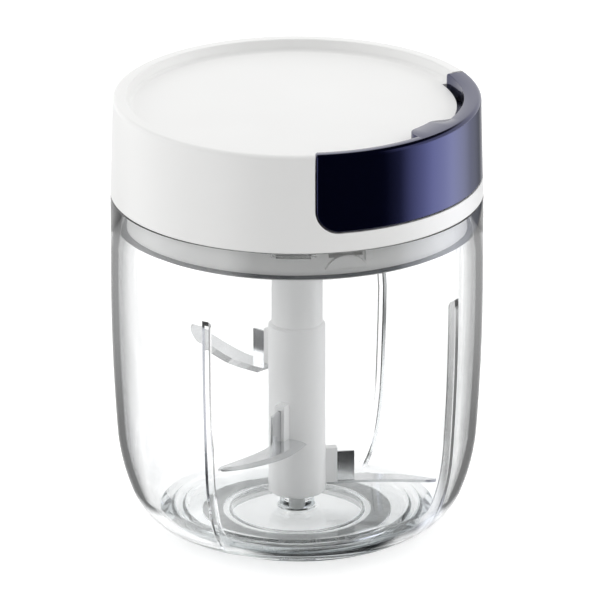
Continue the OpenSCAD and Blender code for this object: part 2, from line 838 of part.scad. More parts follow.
module pull_handle() {
  color([0.07, 0.08, 0.2])
    difference() {
      union() {
        difference() {
          intersection() {
            lid_solid();
            band(handle_in_r, rim_r + handle_t, handle_z, lid_top_z + 1, handle_half, handle_corner_r);
          }
          scoop(-finger_end, tab_turn - tab_span);
          scoop(tab_turn + tab_span, finger_end);
        }
        rotate([0, 0, tab_turn])
          intersection() {
            rotate_extrude()
              polygon([
                [tab_in_r - 1, tab_z], [handle_in_r + 2, tab_z], [handle_in_r + 2, lid_top_z - 0.2],
                [tab_in_r - 1, lid_top_z - tab_drop]
              ]);
            translate([tab_in_r + tab_r, 0, tab_z - 1])
              cylinder(r = tab_r, h = recess + 2);
          }
      }
      sector(handle_in_r - 1, handle_in_r + back_t + run_gap, back_z0 - 0.1, back_z1 + 0.1,
        -back_half - 0.1, back_half + 0.1);
      translate([handle_in_r, 0, cord_z])
        rotate([0, 90, 0])
          cylinder(r = stop_r + 0.5, h = back_t + stop_l + 0.6);
    }
}

module handle_back() {
  color([0.16, 0.17, 0.26])
    difference() {
      sector(handle_in_r, handle_in_r + back_t, back_z0, back_z1, -back_half, back_half);
      translate([handle_in_r - back_t, 0, cord_z])
        rotate([0, 90, 0])
          cylinder(r = cord_r + 0.3, h = 3 * back_t);
    }
}

module cord_stop() {
  color([0.75, 0.76, 0.78])
    translate([stop_x, 0, cord_z])
      rotate([0, 90, 0])
        rotate_extrude()
          polygon([
            [0, 0], [stop_r - 0.4, 0], [stop_r, 0.4], [stop_r, stop_l - 0.4], [stop_r - 0.4, stop_l],
            [0, stop_l]
          ]);
}

module cord_lead() {
  color([0.9, 0.9, 0.88])
    tube(lead_path, cord_r, 6);
}

module blade_column() {
  color([0.94, 0.94, 0.94])
    difference() {
      union() {
        rotate_extrude()
          polygon([
            [0, column_z], [column_r - 0.8, column_z], [column_r, column_z + 0.8],
            [column_r, column_step - 0.8], [column_r - 0.8, column_step], [0, column_step]
          ]);
        for (i = [0 : 2])
          rotate([0, 0, blade_a[i]])
            translate([column_r - 2, -fin_w / 2, blade_z + blade_at[i] * blade_gap + blade_t])
              cube([fin_l + 2, fin_w, tab_h + 0.8]);
      }
      translate([0, 0, column_z - 1])
        cylinder(r = bush_out_r + run_gap, h = pin_h + 3);
      translate([0, 0, column_step - joint_l])
        cylinder(r = joint_r + run_gap, h = joint_l + 1);
      for (i = [0 : 2])
        rotate([0, 0, blade_a[i]])
          translate([blade_u0 - 0.1, -blade_t / 2 - 0.05, blade_z + blade_at[i] * blade_gap])
            cube([fin_l + 4, blade_t + 0.1, tab_h + 0.1]);
    }
}

module drive_sleeve() {
  color([0.92, 0.92, 0.93])
    union() {
      rotate_extrude()
        polygon([
          [joint_r - 2, column_step - joint_l + 0.2], [joint_r, column_step - joint_l + 0.2],
          [joint_r, column_step], [sleeve_r, column_step], [sleeve_r, column_top - 0.6],
          [sleeve_r - 0.6, column_top], [socket_r, column_top], [socket_r, column_top - socket_d],
          [0, column_top - socket_d], [0, column_top - socket_d - 2],
          [joint_r - 2, column_top - socket_d - 2]
        ]);
      for (s = [-1, 1])
        translate([-key_w / 2, s * (key_core + 0.5 + socket_r + 0.6) / 2, column_top - socket_d - 0.5])
          translate([0, -(socket_r + 0.1 - key_core) / 2, 0])
            cube([key_w, socket_r + 0.1 - key_core, socket_d - 0.5]);
    }
}

module shaft_bush() {
  color([0.76, 0.72, 0.6])
    rotate_extrude()
      translate([pin_r + run_gap, column_z + 0.5])
        square([bush_out_r - pin_r - run_gap, bush_l]);
}

// One blade: a tapered plate with a ground front edge, and an upright tab at its root
module blade(i) {
  tip = rim_r - tip_inset + 2.5 * i;
  pts = [for (k = [0 : blade_n])
    let (
      s = sin(90 * k / blade_n),
      u = blade_u0 + (tip - blade_u0) * s,
      m = blade_mid(s),
      h = blade_half(s),
      z = blade_rise[i] * max(0, s - 0.35) / 0.65,
      b = min(bevel_w, 1.2 * h)
    )
    each [
      [u, m - h, z], [u, m + h, z + 0.1], [u, m + h, z + 0.25], [u, m + h - b, z + blade_t],
      [u, m - h, z + blade_t]
    ]];
  skin = [for (k = [0 : blade_n - 1]) for (j = [0 : 4])
    let (q = (j + 1) % 5)
    each [
      [5 * k + j, 5 * k + 5 + q, 5 * k + q],
      [5 * k + j, 5 * k + 5 + j, 5 * k + 5 + q]
    ]];
  ends = [[0, 1, 2, 3, 4], [for (j = [4 : -1 : 0]) 5 * blade_n + j]];
  color([0.78, 0.79, 0.81])
    rotate([0, 0, blade_a[i]])
      translate([0, 0, blade_z + blade_at[i] * blade_gap])
        union() {
          polyhedron(points = pts, faces = concat(skin, ends), convexity = 6);
          translate([blade_u0, -blade_t / 2, blade_t / 2])
            cube([blade_tab_l, blade_t, tab_h - blade_t / 2]);
        }
}

module blade_lower() {
  blade(0);
}

module blade_middle() {
  blade(1);
}

module blade_upper() {
  blade(2);
}

bowl();
centre_pin();
foot_ring();
lid_seal();
lid_housing();
lid_base();
base_screws();
cord_eyelet();
hub_bush();
reel_axle();
axle_washer();
cord_reel();
recoil_spring();
spring_cover();
cord_winding();
pawl_pins();
pawl_springs();
pawl_1();
pawl_2();
pawl_3();
drive_hub();
hub_clip();
pull_handle();
handle_back();
cord_stop();
cord_lead();
blade_column();
drive_sleeve();
shaft_bush();
blade_lower();
blade_middle();
blade_upper();
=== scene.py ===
"""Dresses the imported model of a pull-string food chopper for a studio picture.

The clear bowl, the pull handle and the cord are built here. The other sub-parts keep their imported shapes
and get their finishes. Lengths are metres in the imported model's own frame: +Z runs up the shaft, and the
handle is pulled along +X.
"""

import math

import bmesh
import bpy
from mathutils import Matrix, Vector


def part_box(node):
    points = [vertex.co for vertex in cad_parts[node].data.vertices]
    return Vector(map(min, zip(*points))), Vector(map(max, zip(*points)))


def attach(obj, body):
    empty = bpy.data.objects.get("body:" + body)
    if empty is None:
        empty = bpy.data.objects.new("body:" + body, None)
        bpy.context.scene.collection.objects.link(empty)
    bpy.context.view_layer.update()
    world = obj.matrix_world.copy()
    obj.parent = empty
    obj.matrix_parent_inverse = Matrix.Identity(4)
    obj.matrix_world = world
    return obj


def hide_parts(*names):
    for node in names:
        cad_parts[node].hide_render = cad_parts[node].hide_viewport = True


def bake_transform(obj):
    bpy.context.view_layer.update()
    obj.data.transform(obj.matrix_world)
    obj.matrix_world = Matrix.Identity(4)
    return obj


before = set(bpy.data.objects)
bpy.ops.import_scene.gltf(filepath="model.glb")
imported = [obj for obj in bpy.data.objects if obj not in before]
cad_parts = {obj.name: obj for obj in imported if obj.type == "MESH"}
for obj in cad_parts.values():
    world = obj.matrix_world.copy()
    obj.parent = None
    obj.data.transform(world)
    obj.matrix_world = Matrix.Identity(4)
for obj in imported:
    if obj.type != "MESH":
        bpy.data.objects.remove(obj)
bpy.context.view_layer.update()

bl_info = {
    "name": "Food chopper looks",
    "version": (1, 0, 0),
    "blender": (4, 5, 0),
    "location": "3D View > Sidebar > Chopper",
    "description": "Builds the clear bowl, the handle, the cord and the finishes of a food chopper",
    "category": "Object",
}

MM = 0.001
UP = Vector((0, 0, 1))


def linear(code):
    """Linear colour of an sRGB hex value."""
    parts = [int(code[i:i + 2], 16) / 255 for i in (0, 2, 4)]
    return [p / 12.92 if p <= 0.04045 else ((p + 0.055) / 1.055) ** 2.4 for p in parts]


def length(name, text, size):
    """A length that the user can change."""
    return bpy.props.FloatProperty(name=name, description=text, default=size, precision=4, unit="LENGTH")


def angle(name, text, degrees):
    """An angle that the user can change."""
    return bpy.props.FloatProperty(
        name=name, description=text, default=math.radians(degrees), subtype="ANGLE")


def number(name, text, size, unit="NONE"):
    """A plain number, a power or a focal length that the user can change."""
    return bpy.props.FloatProperty(name=name, description=text, default=size, unit=unit)


def count(name, text, size):
    """A count that the user can change."""
    return bpy.props.IntProperty(name=name, description=text, default=size, min=1)


def colour(name, text, code):
    """A colour that the user can change."""
    return bpy.props.FloatVectorProperty(
        name=name, description=text, default=linear(code), min=0, max=1, size=3, subtype="COLOR")


class ChopperBowl(bpy.types.PropertyGroup):
    """Sizes of the clear bowl"""
    rim_r: length("Rim radius", "Outer radius at the seam with the lid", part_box("bowl")[1].x)
    seam_z: length("Seam height", "Height of the bowl's rim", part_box("bowl")[1].z)
    lift: length("Lift", "Height of the bowl's underside above the table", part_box("bowl")[0].z)
    wall: length("Wall", "Thickness of the side", 2.6 * MM)
    floor_rise: length("Floor", "Height of the floor above the underside", 7.2 * MM)
    floor_t: length("Floor thickness", "Thickness of the floor over the hollow underneath", 3.6 * MM)
    corner_r: length("Corner radius", "Radius of the corner between base and side", 25.7 * MM)
    corner_lean: angle("Corner lean", "Angle at which the corner runs into the shoulder", 20)
    shoulder_r: length("Shoulder radius", "Radius of the shoulder above the corner", 75 * MM)
    shoulder_lean: angle("Shoulder lean", "Angle at which the shoulder runs into the wall", 4.3)
    bulge_r: length("Bulge radius", "Radius of the slow bulge of the wall", 770 * MM)
    rim_h: length("Rim band", "Height of the band of faces below the seam", 14 * MM)
    rib_count: count("Ribs", "Number of ribs inside the wall", 4)
    rib_w: length("Rib width", "Width of one rib", 2 * MM)
    rib_depth: length("Rib depth", "Height of a rib from the wall", 2.4 * MM)
    rib_drop: length("Rib drop", "Distance from the seam down to the tops of the ribs", 28.5 * MM)
    rib_nose: length("Rib nose", "Length of the round top of a rib", 3 * MM)
    rib_draft: length("Rib draft", "Width of the slope beside a rib or a ledge", 0.25 * MM)
    boss_r: length("Boss radius", "Radius of the boss that carries the pin", 6 * MM)
    boss_h: length("Boss height", "Height of the boss above the floor", 4.9 * MM)
    pin_gap: length("Pin play", "Play round the centre pin", 0.05 * MM)
    ring_h: length("Ring height", "Height of the two rings on the floor", 0.8 * MM)
    ring_out: length("Outer ring", "Distance of the outer floor ring from the corner's start", 8.6 * MM)
    ring_in: length("Inner ring", "Distance of the inner floor ring from the corner's start", 4.6 * MM)
    ring_foot: length("Ring foot", "Half of a floor ring's width at the floor", 1.2 * MM)
    ring_top: length("Ring top", "Half of a floor ring's width at its top", 0.4 * MM)
    foot_gap: length("Foot edge", "Distance from the corner's start in to the groove", 1.25 * MM)
    foot_w: length("Foot width", "Width of the groove for the non-slip ring", 7.1 * MM)
    ridge_w: length("Ridge", "Width of the ridge between the groove and the hollow", 2.45 * MM)
    ledge_count: count("Ledges", "Number of bayonet ledges", 3)
    ledge_start: angle("Ledge start", "Angle at which the first ledge starts", -68.2)
    ledge_arc: angle("Ledge arc", "Arc of one ledge", 14)
    ledge_gap: length("Ledge gap", "Distance from the rim down to the ledges", 0.2 * MM)
    ledge_h: length("Ledge height", "Height of one ledge", 1.5 * MM)
    ledge_depth: length("Ledge depth", "Depth of one ledge from the wall", 1.4 * MM)


class ChopperHandle(bpy.types.PropertyGroup):
    """Sizes of the pull handle"""
    half: angle("Half arc", "Half of the arc that the handle takes", 54)
    top_r: length("Top radius", "Outer radius at the top", 64.2 * MM)
    draft: length("Draft", "Gain in radius from the top down to the seam", 0.8 * MM)
    seam_z: length("Seam height", "Height of the seam between lid and bowl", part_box("bowl")[1].z)
    in_r: length("Inner radius", "Radius of the inner side", 56 * MM)
    low_z: length("Bottom", "Height of the lower edge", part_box("pull_handle")[0].z)
    top_z: length("Top", "Height of the upper edge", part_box("pull_handle")[1].z)
    corner_r: length("Corner radius", "Rounding of the two lower corners", 8.5 * MM)
    edge_r: length("Edge", "Rounding of the outer top edge", 1.5 * MM)
    end_r: length("Ends", "Rounding of the edges at both ends", 0.8 * MM)
    soft: length("Small edges", "Rounding of the other edges", 0.4 * MM)
    front_lip: length("Front lip", "Thickness of the top before the tab", 4.4 * MM)
    back_lip: length("Back lip", "Thickness of the top behind the tab", 5.9 * MM)
    back_gain: length("Back gain", "Growth of the back lip up to the end", 1.2 * MM)
    tab_r: length("Tab radius", "Distance of the thumb tab from the axis", 53.4 * MM)
    tab_start: angle("Tab start", "Angle at which the tab's round tip starts", -16)
    tab_tip: angle("Tab tip", "Arc of the tab's round tip", 5.5)
    tab_end: angle("Tab end", "Angle at which the tab has run into the top", 6)
    tab_blend: angle("Tab blend", "Arc over which the tab runs into the top", 7)
    tab_h: length("Tab height", "Height of the tab above its underside", 3.6 * MM)
    scoop_h: length("Scoop height", "Height of the finger scoops", 8.2 * MM)
    back_half: angle("Plate arc", "Half of the arc of the plate behind the handle", 39)
    back_t: length("Plate seat", "Depth of the seat of that plate", 1.9 * MM)
    back_low: length("Plate bottom", "Height of the seat's lower edge", 134.9 * MM)
    back_high: length("Plate top", "Height of the seat's upper edge", 149.5 * MM)


class ChopperCord(bpy.types.PropertyGroup):
    """Sizes of the cord"""
    diameter: length("Diameter", "Diameter of the braided cord", 1.6 * MM)
    turns: count("Turns", "Turns of cord on the reel", 4)
    pitch: length("Pitch", "Distance between two turns", 2.1 * MM)
    wind_r: length("Winding radius", "Radius of the cord's middle line on the reel", 27.055 * MM)
    wind_z: length("First turn", "Height of the lowest turn", 136.9 * MM)
    eye_x: length("Eyelet", "Distance of the eyelet from the axis", 53.4 * MM)
    eye_z: length("Eyelet height", "Height of the eyelet", 143.8 * MM)
    bend: length("Bend", "Length over which the cord turns in the eyelet", 3 * MM)


class ChopperFinish(bpy.types.PropertyGroup):
    """Colours of the finishes"""
    clear: colour("Clear plastic", "Tint of the bowl in its thickness", "C9D0D2")
    white: colour("White plastic", "Lid and base plate", "EFEFEE")
    shaft: colour("Shaft plastic", "Shaft and its sleeve", "FBFBFB")
    navy: colour("Navy plastic", "Pull handle", "030412")
    natural: colour("Natural plastic", "Reel, hub and spring cover", "DCDDDC")
    bearing: colour("Bearing plastic", "Bushes", "C9BC98")
    blade: colour("Blade steel", "Blades", "ECEDEE")
    turned: colour("Turned steel", "Pins, screws and eyelet", "B9BBBE")
    spring: colour("Spring steel", "Springs and clip", "7E848C")
    silicone: colour("Silicone", "Seal under the lid", "7A7C7F")
    rubber: colour("Foot rubber", "Non-slip ring", "F2F3F3")
    cord: colour("Cord", "Braided cord", "E6E6E0")


class ChopperStage(bpy.types.PropertyGroup):
    """The camera, the lamps and the white floor"""
    azimuth: angle("Azimuth", "Direction of the camera from the front, towards the handle", 30)
    elevation: angle("Elevation", "Height of the camera above level", 19.8)
    distance: length("Distance", "Distance of the camera from its target", 8.0)
    target_z: length("Target", "Height that the camera looks at", 84.5 * MM)
    lens: number("Lens", "Focal length", 1390.9, "CAMERA")
    sensor: number("Sensor", "Width of the sensor", 36, "CAMERA")
    floor_half: length("Floor size", "Half of the floor's width", 4.0)
    paper: colour("Floor", "White paper under the object", "F4F4F4")
    glow: number("Glow", "Light that the floor adds where it is seen", 0.45)
    ambient: number("Ambient", "Level of the soft light all round", 0.7)
    top: number("Top", "Power of the lamp overhead", 4.2, "POWER")
    left: number("Left", "Power of the lamp on the left", 3.5, "POWER")
    right: number("Right", "Power of the lamp on the right", 4.8, "POWER")


def add(tree, kind, inputs=None, **settings):
    """Adds a node. An input given as a socket is linked, and any other value is set."""
    node = tree.nodes.new(kind)
    for name, value in settings.items():
        setattr(node, name, value)
    for name, value in (inputs or {}).items():
        if isinstance(value, bpy.types.NodeSocket):
            tree.links.new(value, node.inputs[name])
        else:
            node.inputs[name].default_value = value
    return node


def start(name):
    """An empty node material and its tree."""
    material = bpy.data.materials.new(name)
    material.use_nodes = True
    material.node_tree.nodes.clear()
    return material, material.node_tree


def opaque(tint):
    """A colour with its alpha."""
    return (*tint, 1.0)


def shaded(tint, level):
    """A colour made darker or lighter, with its alpha."""
    return (*[min(1.0, part * level) for part in tint], 1.0)


# Places of the colour sockets on the Mix node, whose sockets share their names
MIX_A, MIX_B, MIX_RESULT = 6, 7, 2

# Length of one wave of the Wave node at scale 1
WAVE_LENGTH = 0.31


def moulded(name, tint, roughness, uneven, peel, depth, extra=None):
    """Injection-moulded plastic: faint mottling, slightly uneven gloss, and the mould's soft orange peel."""
    material, tree = start(name)
    place = add(tree, "ShaderNodeTexCoord").outputs["Object"]
    mottle = add(tree, "ShaderNodeTexNoise", {"Vector": place, "Scale": 1 / (30 * MM), "Detail": 1.0})
    edge = add(tree, "ShaderNodeBevel", {"Radius": 0.35 * MM}, samples=4)
    skin_noise = add(tree, "ShaderNodeTexNoise", {"Vector": place, "Scale": 1 / peel, "Detail": 2.0})
    tone = add(tree, "ShaderNodeMix", {
        "Factor": mottle.outputs["Fac"], MIX_A: opaque(tint), MIX_B: shaded(tint, 0.98)}, data_type="RGBA")
    gloss = add(tree, "ShaderNodeMapRange", {
        "Value": mottle.outputs["Fac"], "From Min": 0.0, "From Max": 1.0,
        "To Min": roughness - uneven, "To Max": roughness + uneven}, clamp=False)
    bump = add(tree, "ShaderNodeBump", {
        "Height": skin_noise.outputs["Fac"], "Strength": 0.5, "Distance": depth,
        "Normal": edge.outputs["Normal"]})
    shader = add(tree, "ShaderNodeBsdfPrincipled", {
        "Base Color": tone.outputs[MIX_RESULT], "Roughness": gloss.outputs["Result"],
        "Normal": bump.outputs["Normal"], "IOR": 1.5, **(extra or {})})
    add(tree, "ShaderNodeOutputMaterial", {"Surface": shader.outputs["BSDF"]})
    return material


def white_abs(finish):
    """White ABS, moulded: bright and even, with a soft gloss that blurs what it mirrors."""
    return moulded("white_abs_moulded", finish.white,
                   roughness=0.3, uneven=0.05, peel=1.6 * MM, depth=0.004 * MM)


def white_polypropylene(finish):
    """White polypropylene, moulded: brighter than the lid and waxy, with a soft gloss."""
    return moulded("white_polypropylene_moulded", finish.shaft,
                   roughness=0.35, uneven=0.05, peel=1.6 * MM, depth=0.004 * MM)


def navy_abs(finish):
    """Navy ABS, moulded and lacquered: nearly black, with a high gloss that turns lilac in strong light."""
    lacquer = {
        "Specular IOR Level": 1.0, "Specular Tint": (0.2, 0.24, 1.0, 1.0),
        "Coat Weight": 0.5, "Coat Roughness": 0.1}
    return moulded("navy_abs_lacquered", finish.navy,
                   roughness=0.14, uneven=0.03, peel=2.2 * MM, depth=0.003 * MM, extra=lacquer)


def natural_acetal(finish):
    """Natural acetal, moulded: milky white and waxy, with a satin surface."""
    return moulded("natural_acetal_moulded", finish.natural,
                   roughness=0.42, uneven=0.06, peel=0.9 * MM, depth=0.006 * MM)


def bearing_nylon(finish):
    """Oil-filled nylon, turned: a dull cream with a satin surface."""
    return moulded("bearing_nylon_turned", finish.bearing,
                   roughness=0.45, uneven=0.08, peel=0.7 * MM, depth=0.008 * MM)


def silicone_rubber(finish):
    """Grey silicone: matt, with a faint bloom and no clear reflection."""
    return moulded("silicone_moulded", finish.silicone,
                   roughness=0.62, uneven=0.08, peel=0.6 * MM, depth=0.01 * MM)


def foot_elastomer(finish):
    """Clear elastomer with a spark-eroded grain: milky and matt, so the table's white comes through."""
    return moulded("foot_elastomer_grained", finish.rubber,
                   roughness=0.5, uneven=0.06, peel=0.5 * MM, depth=0.02 * MM,
                   extra={"Transmission Weight": 0.85})


def clear_san(finish):
    """Clear SAN, moulded and polished: glass-like, bright, and grey only where one looks through much of it.

    Shadow rays pass straight through, so that the lamps light what is inside, and so do rays that the wall
    has turned many times, which would otherwise end black."""
    most_turns = 6.5
    material, tree = start("clear_san_polished")
    place = add(tree, "ShaderNodeTexCoord").outputs["Object"]
    ripple = add(tree, "ShaderNodeTexNoise", {"Vector": place, "Scale": 1 / (22 * MM), "Detail": 1.0})
    haze = add(tree, "ShaderNodeMapRange", {
        "Value": ripple.outputs["Fac"], "From Min": 0.3, "From Max": 0.7, "To Min": 0.0, "To Max": 0.03})
    bump = add(tree, "ShaderNodeBump", {
        "Height": ripple.outputs["Fac"], "Strength": 0.3, "Distance": 0.02 * MM})
    glass = add(tree, "ShaderNodeBsdfPrincipled", {
        "Base Color": (1, 1, 1, 1), "Roughness": haze.outputs["Result"], "IOR": 1.57,
        "Transmission Weight": 1.0, "Normal": bump.outputs["Normal"]})
    through = add(tree, "ShaderNodeBsdfTransparent", {"Color": (0.985, 0.988, 0.988, 1)})
    path = add(tree, "ShaderNodeLightPath")
    late = add(tree, "ShaderNodeMath", {
        0: path.outputs["Ray Depth"], 1: most_turns}, operation="GREATER_THAN")
    straight = add(tree, "ShaderNodeMath", {
        0: path.outputs["Is Shadow Ray"], 1: late.outputs["Value"]}, operation="MAXIMUM")
    surface = add(tree, "ShaderNodeMixShader", {
        "Fac": straight.outputs["Value"], 1: glass.outputs["BSDF"], 2: through.outputs["BSDF"]})
    depth = add(tree, "ShaderNodeVolumeAbsorption", {"Color": opaque(finish.clear), "Density": 25.0})
    add(tree, "ShaderNodeOutputMaterial", {
        "Surface": surface.outputs["Shader"], "Volume": depth.outputs["Volume"]})
    return material


def metal(name, tint, roughness, uneven, line, depth):
    """Metal with fine tool lines that run round the axis."""
    material, tree = start(name)
    place = add(tree, "ShaderNodeTexCoord").outputs["Object"]
    flat = add(tree, "ShaderNodeVectorMath", {0: place, 1: (1.0, 1.0, 0.0)}, operation="MULTIPLY")
    radius = add(tree, "ShaderNodeVectorMath", {0: flat.outputs["Vector"]}, operation="LENGTH")
    lines = add(tree, "ShaderNodeTexNoise", {
        "W": radius.outputs["Value"], "Scale": 1 / line, "Detail": 2.0}, noise_dimensions="1D")
    cloud = add(tree, "ShaderNodeTexNoise", {"Vector": place, "Scale": 1 / (6 * MM), "Detail": 2.0})
    tone = add(tree, "ShaderNodeMix", {
        "Factor": cloud.outputs["Fac"], MIX_A: opaque(tint), MIX_B: shaded(tint, 0.86)}, data_type="RGBA")
    gloss = add(tree, "ShaderNodeMapRange", {
        "Value": lines.outputs["Fac"], "From Min": 0.25, "From Max": 0.75,
        "To Min": roughness - uneven, "To Max": roughness + uneven})
    bump = add(tree, "ShaderNodeBump", {"Height": lines.outputs["Fac"], "Strength": 0.4, "Distance": depth})
    shader = add(tree, "ShaderNodeBsdfPrincipled", {
        "Base Color": tone.outputs[MIX_RESULT], "Metallic": 1.0, "Roughness": gloss.outputs["Result"],
        "Normal": bump.outputs["Normal"]})
    add(tree, "ShaderNodeOutputMaterial", {"Surface": shader.outputs["BSDF"]})
    return material


def blade_steel(finish):
    """Stainless steel, ground across the blade and polished: bright, with faint grinding lines."""
    return metal("stainless_blade_ground", finish.blade,
                 roughness=0.16, uneven=0.05, line=0.35 * MM, depth=0.002 * MM)


def turned_steel(finish):
    """Plated steel, turned on a lathe: bright, with fine rings."""
    return metal("plated_steel_turned", finish.turned,
                 roughness=0.22, uneven=0.06, line=0.25 * MM, depth=0.003 * MM)


def spring_steel(finish):
    """Hardened spring strip, rolled: dark blue-grey and lightly oiled."""
    return metal("spring_steel_rolled", finish.spring,
                 roughness=0.3, uneven=0.06, line=0.3 * MM, depth=0.002 * MM)


def braided_nylon(finish):
    """Braided nylon cord: pale strands that cross, each a soft ridge, with painted shade in the dark gap
    beside it.
    """
    strand = 0.62 * MM
    material, tree = start("nylon_cord_braided")
    place = add(tree, "ShaderNodeTexCoord").outputs["Object"]
    strands = []
    for side in (-1, 1):
        lean = (0.6 * side, 0.7, 0.8 * side)
        turn = add(tree, "ShaderNodeMapping", {"Vector": place, "Rotation": lean})
        wave = add(tree, "ShaderNodeTexWave", {
            "Vector": turn.outputs["Vector"], "Scale": WAVE_LENGTH / strand})
        strands.append(wave.outputs["Fac"])
    weave = add(tree, "ShaderNodeMath", {0: strands[0], 1: strands[1]}, operation="MAXIMUM")
    # Painted shade: where the strands part, the cord's colour falls to 0.55 of itself, standing in for the
    # shade in the braid's gaps
    tone = add(tree, "ShaderNodeMix", {
        "Factor": weave.outputs["Value"], MIX_A: shaded(finish.cord, 0.55), MIX_B: opaque(finish.cord)},
        data_type="RGBA")
    bump = add(tree, "ShaderNodeBump", {
        "Height": weave.outputs["Value"], "Strength": 0.8, "Distance": 0.12 * MM})
    shader = add(tree, "ShaderNodeBsdfPrincipled", {
        "Base Color": tone.outputs[MIX_RESULT], "Roughness": 0.6, "Sheen Weight": 0.3,
        "Normal": bump.outputs["Normal"]})
    add(tree, "ShaderNodeOutputMaterial", {"Surface": shader.outputs["BSDF"]})
    return material


def clamp(size, limit):
    """A value kept between -limit and limit."""
    return max(-limit, min(limit, size))


def polar(radius, turn, height):
    """A point at a radius, an angle round the shaft and a height."""
    return (radius * math.cos(turn), radius * math.sin(turn), height)


def bezier(begin, middle, end, t):
    """Point of a curve that leaves begin towards middle and comes to end from middle."""
    return (1 - t) ** 2 * begin + 2 * t * (1 - t) * middle + t * t * end


def arc(centre, radius, first, last, steps):
    """Points of an arc in the outline's plane, angles in radians."""
    turns = [first + (last - first) * i / steps for i in range(steps + 1)]
    return [Vector((centre[0] + radius * math.cos(a), centre[1] + radius * math.sin(a))) for a in turns]


def rounded(corners, steps=4):
    """An outline whose corners, given as (radius, height, rounding), are rounded. The end points stay."""
    points = [Vector(c[:2]) for c in corners]
    out = [points[0]]
    for i in range(1, len(corners) - 1):
        size = corners[i][2]
        if size == 0:
            out.append(points[i])
            continue
        back = (points[i - 1] - points[i]).normalized()
        ahead = (points[i + 1] - points[i]).normalized()
        reach = size / math.tan(back.angle(ahead) / 2)
        begin, end = points[i] + back * reach, points[i] + ahead * reach
        out += [bezier(begin, points[i], end, k / steps) for k in range(steps + 1)]
    return out + [points[-1]]


def weld(mesh):
    """Joins points that lie on each other, and drops the faces that this closes up."""
    work = bmesh.new()
    work.from_mesh(mesh)
    bmesh.ops.remove_doubles(work, verts=work.verts, dist=0.001 * MM)
    work.to_mesh(mesh)
    work.free()


def build_mesh(name, verts, faces, material, sharp=35):
    """A smooth mesh object with sharp creases where its faces meet at more than the given angle."""
    mesh = bpy.data.meshes.new(name)
    mesh.from_pydata(verts, [], faces)
    weld(mesh)
    mesh.polygons.foreach_set("use_smooth", [True] * len(mesh.polygons))
    mesh.set_sharp_from_angle(angle=math.radians(sharp))
    mesh.materials.append(material)
    piece = bpy.data.objects.new(name, mesh)
    bpy.context.scene.collection.objects.link(piece)
    return piece


def skin(rings, sides):
    """Faces of a closed skin over rings of points, with a flat face at each end."""
    faces = []
    for i in range(rings - 1):
        here, ahead = i * sides, (i + 1) * sides
        for k in range(sides):
            m = (k + 1) % sides
            faces.append((here + k, here + m, ahead + m, ahead + k))
    faces.append(tuple(reversed(range(sides))))
    faces.append(tuple((rings - 1) * sides + k for k in range(sides)))
    return faces


def dress(material, *names):
    """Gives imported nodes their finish."""
    for name in names:
        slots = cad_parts[name].data.materials
        slots.clear()
        slots.append(material)


# Steps along the bowl's corner, shoulder, wall and rib tops, and columns round it
CORNER_STEPS, SHOULDER_STEPS, WALL_STEPS, NOSE_STEPS = 28, 10, 48, 8
BOWL_COLUMNS = 180

# Roundings of the edges of the bowl's hollow and groove, its rim, its floor rings and its boss
HOLLOW_ROUND, HOLLOW_EDGE, GROOVE_EDGE = 0.8 * MM, 0.3 * MM, 0.2 * MM
RIM_OUT, RIM_IN = 0.4 * MM, 0.15 * MM
RING_ROOT, RING_ROUND = 0.5 * MM, 0.4 * MM
BOSS_ROOT, BOSS_ROUND, PIN_EDGE = 1.5 * MM, 0.6 * MM, 0.2 * MM

# Distances between rows of the bowl: below a ledge, above a rib, and above the start of the upright wall
LEDGE_STEP, RIB_STEP, UPRIGHT_STEP = 0.05 * MM, 0.4 * MM, 0.1 * MM

# Which point of a row of the bowl a column takes
PLAIN, RIB, LEDGE = 0, 1, 2


def bowl_centres(b):
    """Centres of the arcs of the bowl's corner, shoulder and wall, which run into each other."""
    def leaning(lean):
        """Direction in which two arcs meet."""
        return Vector((math.cos(lean), -math.sin(lean)))

    wall_z = b.lift + b.bulge_r * math.sin(b.shoulder_lean) + b.corner_r * (1 - math.sin(b.corner_lean)) \
        + b.shoulder_r * (math.sin(b.corner_lean) - math.sin(b.shoulder_lean))
    wall = Vector((b.rim_r - b.bulge_r, wall_z))
    shoulder = wall + (b.bulge_r - b.shoulder_r) * leaning(b.shoulder_lean)
    corner = shoulder + (b.shoulder_r - b.corner_r) * leaning(b.corner_lean)
    return corner, shoulder, wall


def bowl_side(b, depth, low):
    """The bowl's side moved in by depth, from angle low of the corner up to where the wall is upright."""
    corner, shoulder, wall = bowl_centres(b)
    return arc(corner, b.corner_r - depth, low, -b.corner_lean, CORNER_STEPS) \
        + arc(shoulder, b.shoulder_r - depth, -b.corner_lean, -b.shoulder_lean, SHOULDER_STEPS)[1:] \
        + arc(wall, b.bulge_r - depth, -b.shoulder_lean, 0, WALL_STEPS)[1:]


def bowl_outside(b):
    """Outline from the middle of the bowl's underside, up the side and over the rim to the ledges."""
    corner, _, wall = bowl_centres(b)
    foot_out = corner.x - b.foot_gap
    foot_in = foot_out - b.foot_w
    hollow_r = foot_in - b.ridge_w
    hollow_z = b.lift + b.floor_rise - b.floor_t
    groove_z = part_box("foot_ring")[1].z
    inner_r = b.rim_r - b.wall
    under = [
        (0, hollow_z, 0), (hollow_r, hollow_z, HOLLOW_ROUND), (hollow_r, b.lift, HOLLOW_EDGE),
        (foot_in, b.lift, GROOVE_EDGE), (foot_in, groove_z, 0), (foot_out, groove_z, 0),
        (foot_out, b.lift, GROOVE_EDGE), (corner.x, b.lift, 0)]
    rim = [
        (b.rim_r, wall.y, 0), (b.rim_r, b.seam_z - b.rim_h, 0), (b.rim_r, b.seam_z, RIM_OUT),
        (inner_r, b.seam_z, RIM_IN), (inner_r, b.seam_z - b.ledge_gap, 0)]
    return rounded(under) + bowl_side(b, 0, -math.pi / 2)[1:] + rounded(rim)[1:]


